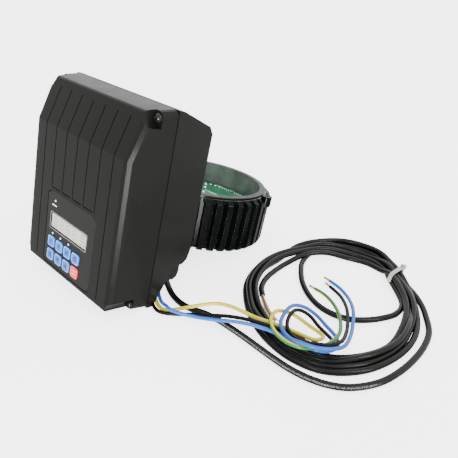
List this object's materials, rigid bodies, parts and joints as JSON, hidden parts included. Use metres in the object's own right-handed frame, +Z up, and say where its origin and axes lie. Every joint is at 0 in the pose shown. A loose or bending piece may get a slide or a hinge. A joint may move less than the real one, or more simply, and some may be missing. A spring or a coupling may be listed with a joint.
{
  "type": "variable frequency drive",
  "caption": "Pump motor speed drive: slanted keypad box on a round finned can, with coiled communication cable and three power leads.",
  "frame": {"origin": "bottom centre of the bounding box of the drive without its cables, with the drive leaning back on the box's lower edge and on the can's fins", "axes": "+X to the right seen from the keypad, +Y away from the keypad towards the finned can, +Z up from the bench"},
  "size_m": [0.4, 0.3367, 0.2044],
  "materials": {
    "housing_black": "satin moulded, slightly grained",
    "panel_black": "satin printed overlay",
    "gasket_black": "dull",
    "screw_black": "black oxide",
    "zinc_steel": "zinc plated",
    "display_grey": "reflective liquid crystal grey",
    "window_clear": "clear, polished",
    "key_blue": "silicone key, printed",
    "key_red": "silicone key, printed",
    "lamp_white": "frosted light guide",
    "dome_silicone": "matte silicone",
    "board_green": "solder mask",
    "capacitor_sleeve": "shrink sleeve",
    "terminal_green": "moulded",
    "relay_blue": "moulded",
    "copper_winding": "enamelled winding",
    "can_black": "glossy black coating on cast aluminium",
    "module_grey": "moulded",
    "thermal_pad": "soft pad",
    "gland_black": "moulded",
    "cable_black": "smooth jacket",
    "lead_blue": "insulation",
    "lead_black": "insulation",
    "lead_earth": "yellow and green insulation",
    "core_white": "thin conductors",
    "tie_white": "natural nylon",
    "contact_tin": "tinned pins",
    "ribbon_grey": "flat cable"
  },
  "bodies": {
    "drive": {"board_standoff_1": "zinc_steel", "board_standoff_2": "zinc_steel", "board_standoff_3": "zinc_steel", "board_standoff_4": "zinc_steel", "bus_capacitor_1": "capacitor_sleeve", "bus_capacitor_2": "capacitor_sleeve", "cable_coil": "cable_black", "cable_cores": "core_white", "cable_inner_run": "cable_black", "cable_tie": "tie_white", "communication_cable": "cable_black", "control_board": "board_green", "cover_gasket": "gasket_black", "cover_screw_1": "screw_black", "cover_screw_2": "screw_black", "cover_screw_3": "screw_black", "cover_screw_4": "screw_black", "display_module": "display_grey", "display_window": "window_clear", "dome_mat": "dome_silicone", "front_board": "board_green", "front_cover": "housing_black", "gland_block": "gland_black", "gland_bushing": "gland_black", "heatsink_can": "can_black", "lamp_mode_1": "lamp_white", "lamp_mode_2": "lamp_white", "lamp_mode_3": "lamp_white", "lamp_power": "lamp_white", "lead_black": "lead_black", "lead_blue": "lead_blue", "lead_earth": "lead_earth", "lead_grommet": "gland_black", "line_choke": "copper_winding", "module_pins_1": "contact_tin", "module_pins_2": "contact_tin", "power_board": "board_green", "power_module": "module_grey", "power_screw_1": "zinc_steel", "power_screw_2": "zinc_steel", "power_screw_3": "zinc_steel", "rear_housing": "housing_black", "relay": "relay_blue", "ribbon_lead": "ribbon_grey", "saddle_bolt_1": "zinc_steel", "saddle_bolt_2": "zinc_steel", "saddle_bolt_3": "zinc_steel", "saddle_bolt_4": "zinc_steel", "saddle_gasket": "gasket_black", "terminal_block": "terminal_green", "thermal_pad": "thermal_pad", "keypad_overlay": "panel_black"},
    "key_down_cap": {"key_down": "key_blue"},
    "key_menu_cap": {"key_menu": "key_blue"},
    "key_mode_1_cap": {"key_mode_1": "key_blue"},
    "key_mode_2_cap": {"key_mode_2": "key_blue"},
    "key_mode_3_cap": {"key_mode_3": "key_blue"},
    "key_mode_4_cap": {"key_mode_4": "key_blue"},
    "key_stop_cap": {"key_stop": "key_red"},
    "key_up_cap": {"key_up": "key_blue"}
  },
  "joints": [
    {"name": "key_down_press", "type": "slide", "parent": "drive", "child": "key_down_cap", "axis": [0, 0.9819, -0.1892], "range_m": [0, 0.0008], "stiffness_N_per_m": 300},
    {"name": "key_menu_press", "type": "slide", "parent": "drive", "child": "key_menu_cap", "axis": [0, 0.9819, -0.1892], "range_m": [0, 0.0008], "stiffness_N_per_m": 300},
    {"name": "key_mode_1_press", "type": "slide", "parent": "drive", "child": "key_mode_1_cap", "axis": [0, 0.9819, -0.1892], "range_m": [0, 0.0008], "stiffness_N_per_m": 300},
    {"name": "key_mode_2_press", "type": "slide", "parent": "drive", "child": "key_mode_2_cap", "axis": [0, 0.9819, -0.1892], "range_m": [0, 0.0008], "stiffness_N_per_m": 300},
    {"name": "key_mode_3_press", "type": "slide", "parent": "drive", "child": "key_mode_3_cap", "axis": [0, 0.9819, -0.1892], "range_m": [0, 0.0008], "stiffness_N_per_m": 300},
    {"name": "key_mode_4_press", "type": "slide", "parent": "drive", "child": "key_mode_4_cap", "axis": [0, 0.9819, -0.1892], "range_m": [0, 0.0008], "stiffness_N_per_m": 300},
    {"name": "key_stop_press", "type": "slide", "parent": "drive", "child": "key_stop_cap", "axis": [0, 0.9819, -0.1892], "range_m": [0, 0.0008], "stiffness_N_per_m": 300},
    {"name": "key_up_press", "type": "slide", "parent": "drive", "child": "key_up_cap", "axis": [0, 0.9819, -0.1892], "range_m": [0, 0.0008], "stiffness_N_per_m": 300}
  ]
}
